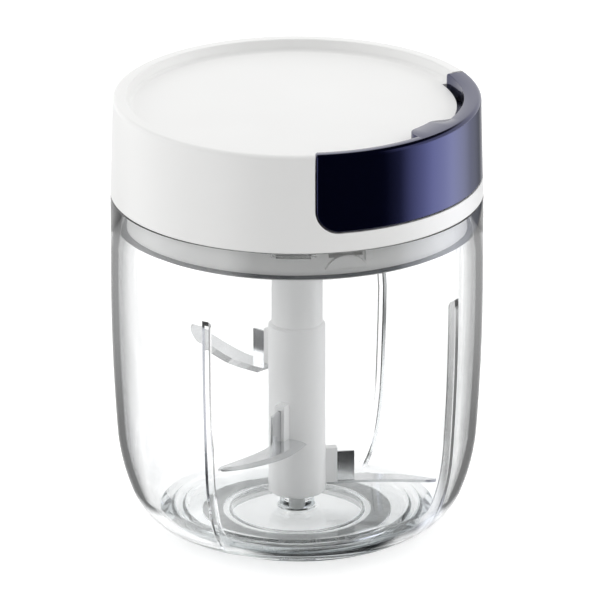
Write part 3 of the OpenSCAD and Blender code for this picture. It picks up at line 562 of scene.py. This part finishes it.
def bowl_floor(b, wall_r):
    """Outline from the foot of the wall, over the two rings and the boss, to the bottom of the pin's hole."""
    corner = bowl_centres(b)[0]
    floor_z = b.lift + b.floor_rise
    ring_z, boss_z = floor_z + b.ring_h, floor_z + b.boss_h
    pin_low, pin_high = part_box("centre_pin")
    pin_r = pin_high.x + b.pin_gap
    outline = [(wall_r, floor_z, 0)]
    for r in (corner.x + b.ring_out, corner.x + b.ring_in):
        outline += [
            (r + b.ring_foot, floor_z, RING_ROOT), (r + b.ring_top, ring_z, RING_ROUND),
            (r - b.ring_top, ring_z, RING_ROUND), (r - b.ring_foot, floor_z, RING_ROOT)]
    outline += [
        (b.boss_r, floor_z, BOSS_ROOT), (b.boss_r, boss_z, BOSS_ROUND),
        (pin_r, boss_z, PIN_EDGE), (pin_r, pin_low.z, 0), (0, pin_low.z, 0)]
    return rounded(outline)


def rib_height(b, z):
    """Height of a rib from the wall, which rises over the rib's round top."""
    below = min(1.0, max(0.0, (b.seam_z - b.rib_drop - z) / b.rib_nose))
    return b.rib_depth * math.sqrt(1 - (1 - below) ** 2)


def bowl_rows(b):
    """Rows of the bowl from the middle of its underside, over the rim, to the bottom of the pin's hole.

    A row holds the point of the plain outline, the point in a rib and the point in a ledge."""
    corner, _, wall = bowl_centres(b)
    inner_r = b.rim_r - b.wall
    rows = [(p, p, p) for p in bowl_outside(b)]

    ledge_top = b.seam_z - b.ledge_gap
    ledge_low = ledge_top - b.ledge_h
    for z, depth in ((ledge_top, b.ledge_depth), (ledge_low, b.ledge_depth), (ledge_low - LEDGE_STEP, 0)):
        plain = Vector((inner_r, z))
        rows.append((plain, plain, Vector((inner_r - depth, z))))

    rib_top = b.seam_z - b.rib_drop
    heights = [(ledge_top + rib_top) / 2, rib_top + RIB_STEP]
    heights += [rib_top - b.rib_nose * k / NOSE_STEPS for k in range(NOSE_STEPS + 1)]
    for z in heights:
        if z > wall.y + UPRIGHT_STEP:
            plain = Vector((inner_r, z))
            rows.append((plain, Vector((inner_r - rib_height(b, z), z)), plain))

    floor_a = math.asin((b.lift + b.floor_rise - corner.y) / (b.corner_r - b.wall))
    plain_side = bowl_side(b, b.wall, floor_a)
    for i in reversed(range(len(plain_side))):
        plain = plain_side[i]
        rows.append((plain, bowl_side(b, b.wall + rib_height(b, plain.y), floor_a)[i], plain))
    return rows + [(p, p, p) for p in bowl_floor(b, plain_side[0].x)[1:]]


def bowl_columns(b):
    """Columns round the bowl as (angle, sideways shift, which point of a row they take)."""
    columns = [(math.tau * i / BOWL_COLUMNS, 0.0, PLAIN) for i in range(BOWL_COLUMNS)]
    for i in range(b.rib_count):
        middle = math.tau * i / b.rib_count
        columns = [(a, shift, RIB if abs(a - middle) < 1e-6 else take) for a, shift, take in columns]
        for s in (-1, 1):
            columns.append((middle, s * b.rib_w / 2, RIB))
            columns.append((middle, s * (b.rib_w / 2 + b.rib_draft), PLAIN))
    slack = b.rib_draft / b.rim_r
    for i in range(b.ledge_count):
        first = (b.ledge_start + math.tau * i / b.ledge_count) % math.tau
        last = first + b.ledge_arc
        columns = [(a, shift, LEDGE if first < a < last else take) for a, shift, take in columns]
        columns += [(first - slack, 0.0, PLAIN), (first, 0.0, LEDGE)]
        columns += [(last, 0.0, LEDGE), (last + slack, 0.0, PLAIN)]
    return sorted(columns, key=lambda c: c[0] + c[1] / b.rim_r)


class CHOPPER_OT_bowl(bpy.types.Operator):
    """Builds the clear bowl as one closed skin, with its ribs, ledges, floor rings and boss"""
    bl_idname = "chopper.bowl"
    bl_label = "Clear bowl"

    def execute(self, context):
        b = context.scene.chopper_bowl
        rows = bowl_rows(b)
        columns = bowl_columns(b)
        inner = rows[1:-1]
        # Near the shaft, the columns of a rib stay within this angle of its middle
        most_turn = math.radians(1.5)
        verts = [(0, 0, rows[0][PLAIN].y), (0, 0, rows[-1][PLAIN].y)]
        poles, n = len(verts), len(inner)
        for turn, shift, take in columns:
            for row in inner:
                r, z = row[take]
                reach = math.asin(clamp(shift / r, 1))
                verts.append(polar(r, turn + clamp(reach, most_turn), z))
        faces = []
        for i in range(len(columns)):
            here, ahead = poles + i * n, poles + (i + 1) % len(columns) * n
            faces.append((0, ahead, here))
            faces += [(here + j, ahead + j, ahead + j + 1, here + j + 1) for j in range(n - 1)]
            faces.append((here + n - 1, ahead + n - 1, 1))
        material = clear_san(context.scene.chopper_finish)
        piece = build_mesh("bowl_clear", verts, faces, material)
        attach(piece, "bowl")
        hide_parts("bowl")
        return {"FINISHED"}


# Steps round the handle's outer top edge, and share of a small edge's rounding at which its middle point lies
HANDLE_EDGE_STEPS = 6
EDGE_MIDDLE = 0.3

# Depth that the seat of the handle's plate keeps where there is no plate
LEAST_SEAT = 0.02 * MM


def handle_inner_r(h, a):
    """Radius of the inner edge of the handle's top: front lip, round tip of the tab, tab, and back lip."""
    front, behind = h.top_r - h.front_lip, h.top_r - h.back_lip
    if a < h.tab_start:
        return front
    if a < h.tab_start + h.tab_tip:
        t = (a - h.tab_start) / h.tab_tip
        return h.tab_r + (front - h.tab_r) * (1 - math.sqrt(1 - (1 - t) ** 2))
    if a < h.tab_end - h.tab_blend:
        return h.tab_r
    if a < h.tab_end:
        t = 1 - (h.tab_end - a) / h.tab_blend
        return h.tab_r + (behind - h.tab_r) * t * t * (3 - 2 * t)
    return behind - h.back_gain * ((a - h.tab_end) / (h.half - h.tab_end)) ** 2


def fallen(size, s):
    """How far a rounding of the given size has fallen off at the distance s from the end."""
    return size - math.sqrt(size ** 2 - (size - s) ** 2) if s < size else 0.0


def handle_section(h, a):
    """Outline of the handle at an angle, as radius and height, from its inner bottom edge out and round."""
    from_end = (h.half - abs(a)) * h.top_r
    inset = fallen(h.end_r, from_end)
    low = h.low_z + fallen(h.corner_r, from_end) + inset
    high = h.top_z - inset

    def outer(z):
        """Radius of the outer side at a height."""
        return h.top_r + h.draft * (h.top_z - h.edge_r - z) / (h.top_z - h.edge_r - h.seam_z) - inset

    turn_z = high - h.edge_r
    top_edge = arc((outer(turn_z) - h.edge_r, turn_z), h.edge_r, 0, math.pi / 2, HANDLE_EDGE_STEPS)
    edge = handle_inner_r(h, a)
    middle = EDGE_MIDDLE * h.soft
    under = h.top_z - (h.tab_h if edge < h.in_r else h.scoop_h)
    seat_r = h.in_r + (h.back_t if abs(a) < h.back_half else LEAST_SEAT)
    seat_low = max(h.back_low, low + h.soft)
    return [
        (h.in_r, low), (outer(low) - h.soft, low), (outer(low), low + h.soft), *map(tuple, top_edge),
        (edge + h.soft, high), (edge + middle, high - middle), (edge, high - h.soft), (edge, under),
        (h.in_r, under), (h.in_r, h.back_high), (seat_r, h.back_high), (seat_r, seat_low), (h.in_r, seat_low)]


def handle_turns(h):
    """Angles of the handle's sections: even steps, and finer ones by its ends, the seat and the tab."""
    half_steps, fine_steps, tip_steps, digits = 72, 12, 72, 6
    turns = [h.half * (k / half_steps - 1) for k in range(2 * half_steps + 1)]
    for mark in (-h.half, h.half, -h.back_half, h.back_half, h.tab_start, h.tab_end):
        after = tip_steps if mark == h.tab_start else fine_steps
        turns += [mark + math.radians(k / fine_steps) for k in range(-fine_steps, after + 1)]
    last = round(h.half, digits)
    return sorted(t for t in {round(t, digits) for t in turns} if -last <= t <= last)


class CHOPPER_OT_handle(bpy.types.Operator):
    """Builds the pull handle as one closed skin, with its tab and scoops, and finishes its back plate"""
    bl_idname = "chopper.handle"
    bl_label = "Pull handle"

    def execute(self, context):
        h = context.scene.chopper_handle
        turns = handle_turns(h)
        sections = [handle_section(h, clamp(t, h.half)) for t in turns]
        verts = [polar(r, t, z) for t, section in zip(turns, sections) for r, z in section]
        # The sections run the other way round than the rings of a tube, so their faces are turned over
        faces = [(first, *reversed(rest)) for first, *rest in skin(len(sections), len(sections[0]))]
        material = navy_abs(context.scene.chopper_finish)
        piece = build_mesh("handle_moulded", verts, faces, material)
        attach(piece, "handle")
        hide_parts("pull_handle")
        dress(material, "handle_back")
        return {"FINISHED"}


def tube(name, path, radius, material, sides=14):
    """A round tube along a path, closed at both ends."""
    verts = []
    last = len(path) - 1
    for i, p in enumerate(path):
        ahead = (path[min(i + 1, last)] - path[max(i - 1, 0)]).normalized()
        out = ahead.cross(UP).normalized()
        up = ahead.cross(out)
        for k in range(sides):
            a = math.tau * k / sides
            verts.append(p + radius * (math.cos(a) * out + math.sin(a) * up))
    return build_mesh(name, verts, skin(len(path), sides), material, sharp=60)


# Steps of the cord in one turn, from the reel to the eyelet, round the eyelet, and from there to the handle
TURN_STEPS, LEAD_STEPS, BEND_STEPS, PULL_STEPS = 60, 12, 8, 40


class CHOPPER_OT_cord(bpy.types.Operator):
    """Builds the cord: its turns on the reel, and the stretch through the eyelet to the handle"""
    bl_idname = "chopper.cord"
    bl_label = "Cord"

    def execute(self, context):
        c = context.scene.chopper_cord
        material = braided_nylon(context.scene.chopper_finish)
        leave_a = -math.acos(c.wind_r / c.eye_x)
        winding = []
        for i in range(TURN_STEPS * c.turns + 1):
            a = leave_a + math.tau * (i / TURN_STEPS - c.turns)
            winding.append(Vector(polar(c.wind_r, a, c.wind_z + c.pitch * i / TURN_STEPS)))
        eye = Vector((c.eye_x, 0, c.eye_z))
        ahead = (eye - winding[-1]).normalized()
        joint = winding[-1] + c.diameter * ahead
        wound = tube("cord_wound", winding + [joint], c.diameter / 2, material)
        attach(wound, "reel")
        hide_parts("cord_winding")

        begin, end = eye - c.bend * ahead, eye + Vector((c.bend, 0, 0))
        stop = Vector((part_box("cord_stop")[0].x, 0, c.eye_z))
        lead = [joint.lerp(begin, k / LEAD_STEPS) for k in range(LEAD_STEPS)]
        lead += [bezier(begin, eye, end, k / BEND_STEPS) for k in range(BEND_STEPS)]
        lead += [end.lerp(stop, k / PULL_STEPS) for k in range(PULL_STEPS + 1)]
        run = tube("cord_run", lead, c.diameter / 2, material)
        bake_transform(run)
        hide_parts("cord_lead")
        return {"FINISHED"}


class CHOPPER_OT_lid(bpy.types.Operator):
    """Finishes the lid, its base plate, the seal and the foot ring"""
    bl_idname = "chopper.lid"
    bl_label = "Lid"

    def execute(self, context):
        finish = context.scene.chopper_finish
        dress(white_abs(finish), "lid_housing", "lid_base")
        dress(silicone_rubber(finish), "lid_seal")
        dress(foot_elastomer(finish), "foot_ring")
        return {"FINISHED"}


class CHOPPER_OT_drive(bpy.types.Operator):
    """Finishes the reel, the clutch, the bushes and the small steel pieces"""
    bl_idname = "chopper.drive"
    bl_label = "Reel and clutch"

    def execute(self, context):
        finish = context.scene.chopper_finish
        dress(natural_acetal(finish), "cord_reel", "spring_cover", "drive_hub", "centre_pin")
        dress(bearing_nylon(finish), "hub_bush", "shaft_bush")
        dress(turned_steel(finish), "base_screws", "cord_eyelet", "reel_axle", "axle_washer",
              "pawl_pins", "pawl_1", "pawl_2", "pawl_3", "cord_stop")
        dress(spring_steel(finish), "recoil_spring", "pawl_springs", "hub_clip")
        return {"FINISHED"}


class CHOPPER_OT_blades(bpy.types.Operator):
    """Finishes the shaft, its sleeve and the three blades"""
    bl_idname = "chopper.blades"
    bl_label = "Blades"

    def execute(self, context):
        finish = context.scene.chopper_finish
        dress(white_polypropylene(finish), "blade_column", "drive_sleeve")
        dress(blade_steel(finish), "blade_lower", "blade_middle", "blade_upper")
        return {"FINISHED"}


def unscattered(tree, level):
    """A socket that keeps a level until the ray's first bounce off a matt surface, and is 0 after it."""
    path = add(tree, "ShaderNodeLightPath")
    first = add(tree, "ShaderNodeMath", {0: path.outputs["Diffuse Depth"], 1: 0.5}, operation="LESS_THAN")
    kept = add(tree, "ShaderNodeMath", {0: level, 1: first.outputs["Value"]}, operation="MULTIPLY")
    return kept.outputs["Value"]


def seen(tree):
    """A socket that is 1 for what the camera sees directly, in a mirror or through glass."""
    path = add(tree, "ShaderNodeLightPath")
    direct = add(tree, "ShaderNodeMath", {
        0: path.outputs["Is Camera Ray"], 1: path.outputs["Is Glossy Ray"]}, operation="MAXIMUM")
    whole = add(tree, "ShaderNodeMath", {
        0: direct.outputs["Value"], 1: path.outputs["Is Transmission Ray"]}, operation="MAXIMUM")
    return whole.outputs["Value"]


def white_paper(tint, level):
    """Matt white paper that takes the shadow, and glows a little where it is seen to read as white."""
    material, tree = start("paper_white_matt")
    diffuse = add(tree, "ShaderNodeBsdfDiffuse", {"Color": opaque(tint)})
    glow = add(tree, "ShaderNodeMath", {0: unscattered(tree, seen(tree)), 1: level}, operation="MULTIPLY")
    light = add(tree, "ShaderNodeEmission", {"Strength": glow.outputs["Value"]})
    both = add(tree, "ShaderNodeAddShader", {0: diffuse.outputs["BSDF"], 1: light.outputs["Emission"]})
    add(tree, "ShaderNodeOutputMaterial", {"Surface": both.outputs["Shader"]})
    return material


def graded_card(name, tint):
    """Card that gives off light at its tone, and whose tone and cover change over it, as the stage's panels
    say at each of their points.
    """
    material, tree = start(name)
    tone = add(tree, "ShaderNodeAttribute", attribute_name="tone")
    cover = add(tree, "ShaderNodeAttribute", attribute_name="cover")
    grey = add(tree, "ShaderNodeEmission", {"Color": tint, "Strength": tone.outputs["Fac"]})
    clear = add(tree, "ShaderNodeBsdfTransparent")
    both = add(tree, "ShaderNodeMixShader", {
        "Fac": unscattered(tree, cover.outputs["Fac"]),
        1: clear.outputs["BSDF"], 2: grey.outputs["Emission"]})
    add(tree, "ShaderNodeOutputMaterial", {"Surface": both.outputs["Shader"]})
    return material


def panel(name, rows, material):
    """A stage panel from rows of points."""
    width = len(rows[0])
    faces = [(i * width + j, i * width + j + 1, (i + 1) * width + j + 1, (i + 1) * width + j)
             for i in range(len(rows) - 1) for j in range(width - 1)]
    mesh = bpy.data.meshes.new(name)
    mesh.from_pydata([p for row in rows for p in row], [], faces)
    mesh.materials.append(material)
    obj = bpy.data.objects.new(name, mesh)
    bpy.context.scene.collection.objects.link(obj)
    return obj


def card(name, rows, material):
    """A graded card from rows of (point, tone, cover).

    Only gloss and glass see it: it throws no shadow, and the camera looks past it."""
    obj = panel(name, [[p[0] for p in row] for row in rows], material)
    for key, place in (("tone", 1), ("cover", 2)):
        layer = obj.data.attributes.new(key, "FLOAT", "POINT")
        layer.data.foreach_set("value", [p[place] for row in rows for p in row])
    obj.visible_camera = False
    obj.visible_diffuse = False
    obj.visible_shadow = False


def around(level, right, degrees):
    """Level direction at an angle from the camera's side, turned to its right."""
    a = math.radians(degrees)
    return level * math.cos(a) + right * math.sin(a)


# Tone of the dark stretches of the cards
DARK = 0.008


def side_cards(level, right, material):
    """Two grey wedges on the floor beside and behind the object, which give the clear bowl its dark edges."""
    lift = 1 * MM
    # Distance behind the shaft, and tone
    steps = ((-0.10, 0.2), (0.0, 0.2), (0.08, 0.22), (0.16, 0.32), (0.27, 0.38), (0.31, 0.8), (0.6, 0.9))
    # Distance beside the shaft, its growth with the distance behind, and cover
    edges = ((0.056, 0.096, 0.0), (0.0615, 0.24, 1.0), (0.20, 0.4, 1.0), (0.30, 0.5, 0.0))
    for name, side in (("card_left", -right), ("card_right", right)):
        rows = []
        for back, tone in steps:
            behind = max(back, 0.0)
            rows.append([(side * (out + spread * behind) - level * back + UP * lift, tone, cover)
                         for out, spread, cover in edges])
        card(name, rows, material)


def front_screen(level, right, material):
    """A graded screen round the front and the right, dark in front and glowing at the right, which shades and
    lights what the gloss mirrors.
    """
    # Degrees from the camera's side, tone, and cover at the foot, in the middle and at the top
    columns = (
        (-40, DARK, 0.0, 0.0, 0.0), (-25, DARK, 1.0, 1.0, 1.0), (50, DARK, 1.0, 1.0, 1.0),
        (60, 0.2, 1.0, 1.0, 0.5), (68, 1.1, 0.5, 1.0, 0.0), (84, 2.5, 0.0, 1.0, 0.0),
        (101, 2.6, 0.0, 1.0, 0.0), (124, 0.75, 0.0, 1.0, 0.0), (143, 0.2, 0.0, 1.0, 0.0),
        (160, 0.2, 0.0, 0.0, 0.0))
    rows = []
    for degrees, tone, foot, middle, top in columns:
        out = around(level, right, degrees)
        # Distance from the shaft, height, and cover, along the floor and up the screen
        edges = (
            (0.048, 0.002, 0.0), (0.055, 0.002, foot), (0.28, 0.002, foot), (0.30, 0.024, foot),
            (0.30, 0.03, middle), (0.30, 0.11, middle), (0.30, 0.13, top), (0.30, 0.38, top))
        rows.append([(out * r + UP * z, tone, cover) for r, z, cover in edges])
    card("card_front", rows, material)


def over_card(level, right, material):
    """A dark round card overhead, for what the gloss mirrors from above."""
    sectors = 24
    # Distance from the shaft, height, and cover
    edges = ((0.0, 0.40, 1.0), (0.30, 0.38, 1.0), (0.38, 0.36, 0.0))
    rows = []
    for step in range(sectors + 1):
        out = around(level, right, 360 * step / sectors)
        rows.append([(out * r + UP * z, DARK, cover) for r, z, cover in edges])
    card("card_over", rows, material)


def lamp(name, place, target, size, power):
    """A square soft lamp that looks at a point."""
    data = bpy.data.lights.new(name, "AREA")
    data.size = size
    data.energy = power
    obj = bpy.data.objects.new(name, data)
    obj.location = place
    obj.rotation_euler = (target - place).to_track_quat("-Z", "Y").to_euler()
    obj.visible_glossy = False
    bpy.context.scene.collection.objects.link(obj)


def aim_camera(scene, s, target, level):
    """The camera, which looks down at the target from the stage's azimuth and elevation."""
    towards = level * math.cos(s.elevation) + UP * math.sin(s.elevation)
    data = bpy.data.cameras.new("camera")
    data.lens = s.lens
    data.sensor_width = s.sensor
    camera = bpy.data.objects.new("camera", data)
    camera.location = target + towards * s.distance
    camera.rotation_euler = (-towards).to_track_quat("-Z", "Y").to_euler()
    scene.collection.objects.link(camera)
    scene.camera = camera


def soft_world(ambient):
    """Soft light all round, which is plain white where it is seen."""
    world = bpy.data.worlds.new("studio")
    world.use_nodes = True
    tree = world.node_tree
    tree.nodes.clear()
    soft = add(tree, "ShaderNodeBackground", {"Color": (1, 1, 1, 1), "Strength": ambient})
    white = add(tree, "ShaderNodeBackground", {"Color": (1, 1, 1, 1), "Strength": 1.0})
    both = add(tree, "ShaderNodeMixShader", {
        "Fac": seen(tree), 1: soft.outputs["Background"], 2: white.outputs["Background"]})
    add(tree, "ShaderNodeOutputWorld", {"Surface": both.outputs["Shader"]})
    return world


class CHOPPER_OT_stage(bpy.types.Operator):
    """Sets up the camera, the white floor, the graded cards and the lamps"""
    bl_idname = "chopper.stage"
    bl_label = "Stage"

    def execute(self, context):
        scene = context.scene
        s = scene.chopper_stage
        target = Vector((0, 0, s.target_z))
        level = Vector((math.sin(s.azimuth), -math.cos(s.azimuth), 0))
        right = Vector((math.cos(s.azimuth), math.sin(s.azimuth), 0))
        aim_camera(scene, s, target, level)
        scene.view_settings.view_transform = "Standard"

        ends = (-s.floor_half, s.floor_half)
        panel("floor", [[Vector((x, y, 0)) for x in ends] for y in ends], white_paper(s.paper, s.glow))
        # The cards give off light at their tone, dark in places and bright in others, for what the gloss and
        # the glass mirror
        neutral = graded_card("card_grey_glowing", (1, 1, 1, 1))
        cool = graded_card("card_blue_grey_glowing", (0.84, 0.87, 1, 1))
        side_cards(level, right, neutral)
        front_screen(level, right, cool)
        over_card(level, right, neutral)

        # Distance behind the object, to its right and above it, then size and power
        for name, behind, across, high, size, power in (
                ("lamp_top", 0.35, -0.15, 1.2, 1.2, s.top),
                ("lamp_left", 0.25, -1.0, 0.3, 0.9, s.left),
                ("lamp_right", 0.25, 1.0, 0.3, 0.9, s.right)):
            lamp(name, target - behind * level + across * right + high * UP, target, size, power)
        scene.world = soft_world(s.ambient)
        return {"FINISHED"}


STEPS = (
    CHOPPER_OT_bowl, CHOPPER_OT_handle, CHOPPER_OT_cord, CHOPPER_OT_lid, CHOPPER_OT_drive, CHOPPER_OT_blades,
    CHOPPER_OT_stage)
GROUPS = {
    "chopper_bowl": ChopperBowl, "chopper_handle": ChopperHandle, "chopper_cord": ChopperCord,
    "chopper_finish": ChopperFinish, "chopper_stage": ChopperStage,
}


class CHOPPER_PT_panel(bpy.types.Panel):
    """Lists the steps that dress the chopper, and their sizes and colours"""
    bl_idname = "CHOPPER_PT_panel"
    bl_label = "Food chopper"
    bl_space_type = "VIEW_3D"
    bl_region_type = "UI"
    bl_category = "Chopper"

    def draw(self, context):
        for step in STEPS:
            self.layout.operator(step.bl_idname)
        for name, group in GROUPS.items():
            box = self.layout.box()
            for key in group.__annotations__:
                box.prop(getattr(context.scene, name), key)


def register():
    for cls in (*GROUPS.values(), *STEPS, CHOPPER_PT_panel):
        bpy.utils.register_class(cls)
    for name, group in GROUPS.items():
        setattr(bpy.types.Scene, name, bpy.props.PointerProperty(type=group))


def unregister():
    for name in GROUPS:
        delattr(bpy.types.Scene, name)
    for cls in (CHOPPER_PT_panel, *reversed(STEPS), *reversed(GROUPS.values())):
        bpy.utils.unregister_class(cls)


def main():
    register()
    for step in STEPS:
        space, name = step.bl_idname.split(".")
        getattr(getattr(bpy.ops, space), name)()


if __name__ == "__main__":
    main()
